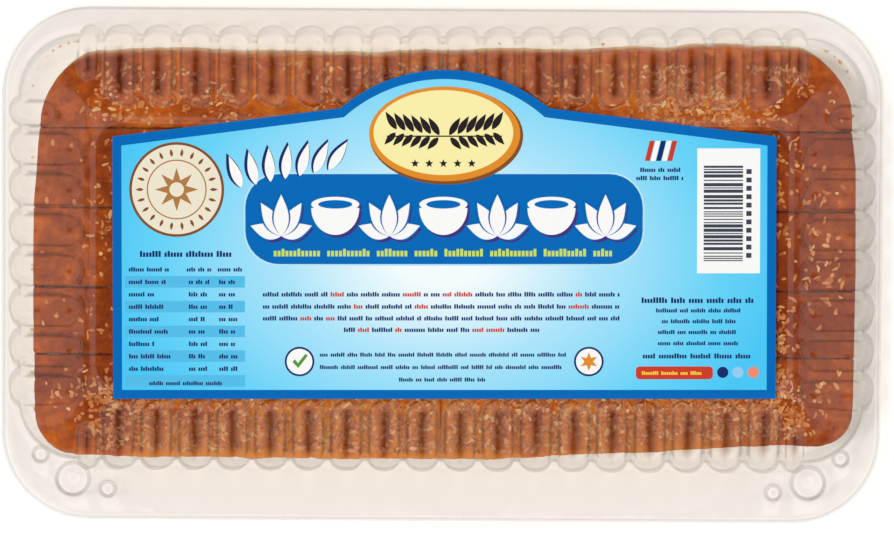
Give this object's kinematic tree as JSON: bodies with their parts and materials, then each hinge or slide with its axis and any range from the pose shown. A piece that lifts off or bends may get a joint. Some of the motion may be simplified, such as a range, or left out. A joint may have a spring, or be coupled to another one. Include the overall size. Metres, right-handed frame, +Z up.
{
  "type": "pack of sliced coconut sponge cake",
  "caption": "Clear fluted clamshell pack with a printed label on its lid, holding a rectangular coconut-topped sponge cake cut into slices in two columns",
  "frame": {"origin": "on the surface that the pack stands on, under the middle of its flange", "axes": "+X to the right along the pack's length, +Y to the hinge side at the back, +Z up"},
  "size_m": [0.27, 0.158, 0.0435],
  "materials": {
    "clear_sheet": "clear, glossy",
    "label_print": "gloss print",
    "sponge": "baked golden-brown crumb with coconut flakes"
  },
  "bodies": {
    "base": {"tray": "clear_sheet", "slice_left_1": "sponge", "slice_left_2": "sponge", "slice_left_3": "sponge", "slice_left_4": "sponge", "slice_left_5": "sponge", "slice_right_1": "sponge", "slice_right_2": "sponge", "slice_right_3": "sponge", "slice_right_4": "sponge", "slice_right_5": "sponge"},
    "lid": {"lid": "clear_sheet", "label": "label_print"}
  },
  "joints": [
    {"name": "lid_hinge", "type": "hinge", "parent": "base", "child": "lid", "pos_m": [0, 0.079, 0.02], "axis": [-1, 0, 0], "range_deg": [0, 165]}
  ]
}
